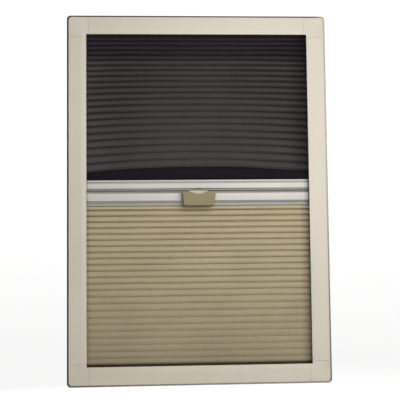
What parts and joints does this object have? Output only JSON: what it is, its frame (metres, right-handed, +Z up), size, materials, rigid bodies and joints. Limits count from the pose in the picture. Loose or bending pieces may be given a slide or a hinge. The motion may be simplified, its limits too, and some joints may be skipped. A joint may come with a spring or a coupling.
{
  "type": "roof window pleated blind",
  "caption": "Framed roof window cassette with a pleated insect screen above, a pleated shade below and two latched pull bars with a pocket handle.",
  "frame": {"origin": "centre of the whole part's box", "axes": "+X to the right across the bars, +Z up along the travel of the bars, -Y towards the person in front of the cassette"},
  "size_m": [0.5068, 0.042, 0.7168],
  "materials": {
    "frame": "satin cream paint on drawn aluminium",
    "corner": "satin cream moulding",
    "screw": "plain steel",
    "seal": "matt black foam rubber",
    "strip": "plain grey strip",
    "pile": "short grey pile",
    "cord": "braided cord",
    "spring": "bright spring wire",
    "stop": "plain grey bead",
    "screen_net": "fine dark net, pleated",
    "shade_cloth": "matt tan cloth, pleated",
    "bar": "satin anodised",
    "glide": "plain grey moulding",
    "handle": "satin olive moulding",
    "latch": "satin pale moulding",
    "pin": "plain steel"
  },
  "bodies": {
    "frame": {"rail_top": "frame", "rail_bottom": "frame", "rail_left": "frame", "rail_right": "frame", "corner_top_left": "corner", "corner_top_right": "corner", "corner_bottom_left": "corner", "corner_bottom_right": "corner", "screw_top_left_upright": "screw", "screw_top_left_level": "screw", "screw_top_right_upright": "screw", "screw_top_right_level": "screw", "screw_bottom_left_upright": "screw", "screw_bottom_left_level": "screw", "screw_bottom_right_upright": "screw", "screw_bottom_right_level": "screw", "seal_top": "seal", "seal_bottom": "seal", "seal_left": "seal", "seal_right": "seal", "screen_head_strip": "strip", "blind_foot_strip": "strip", "pile_strip_left": "pile", "pile_strip_right": "pile", "cord_left_front": "cord", "cord_left_rear": "cord", "cord_right_front": "cord", "cord_right_rear": "cord", "cord_spring_left_front": "spring", "cord_spring_left_rear": "spring", "cord_spring_right_front": "spring", "cord_spring_right_rear": "spring", "cord_stop_left_front": "stop", "cord_stop_left_rear": "stop", "cord_stop_right_front": "stop", "cord_stop_right_rear": "stop", "screen_fabric": "screen_net", "blind_fabric": "shade_cloth"},
    "screen_bar_body": {"screen_bar": "bar", "screen_glide_left": "glide", "screen_glide_right": "glide", "screen_fabric_strip": "strip", "screen_cross_cord_front": "cord", "screen_cross_cord_rear": "cord"},
    "blind_bar_body": {"blind_bar": "bar", "blind_glide_left": "glide", "blind_glide_right": "glide", "blind_fabric_strip": "strip", "blind_cross_cord_front": "cord", "blind_cross_cord_rear": "cord", "handle": "handle", "handle_screw_left": "screw", "handle_screw_right": "screw", "latch_pin": "pin", "latch_spring": "spring"},
    "latch_body": {"latch_tab": "latch"}
  },
  "joints": [
    {"name": "blind_travel", "type": "slide", "parent": "frame", "child": "blind_bar_body", "axis": [0, 0, 1], "range_m": [-0.303, 0.284], "deforming": ["blind_fabric"]},
    {"name": "screen_travel", "type": "slide", "parent": "frame", "child": "screen_bar_body", "axis": [0, 0, 1], "range_m": [-0.303, 0.284], "deforming": ["screen_fabric"]},
    {"name": "latch_release", "type": "hinge", "parent": "blind_bar_body", "child": "latch_body", "pos_m": [0, -0.0043, 0.0064], "axis": [1, 0, 0], "range_deg": [0, 16], "stiffness_Nm_per_rad": 0.05, "springref_deg": -11.46}
  ],
  "couplings": [
    {"joint": "screen_travel", "follows": "blind_travel", "ratio": 1}
  ]
}
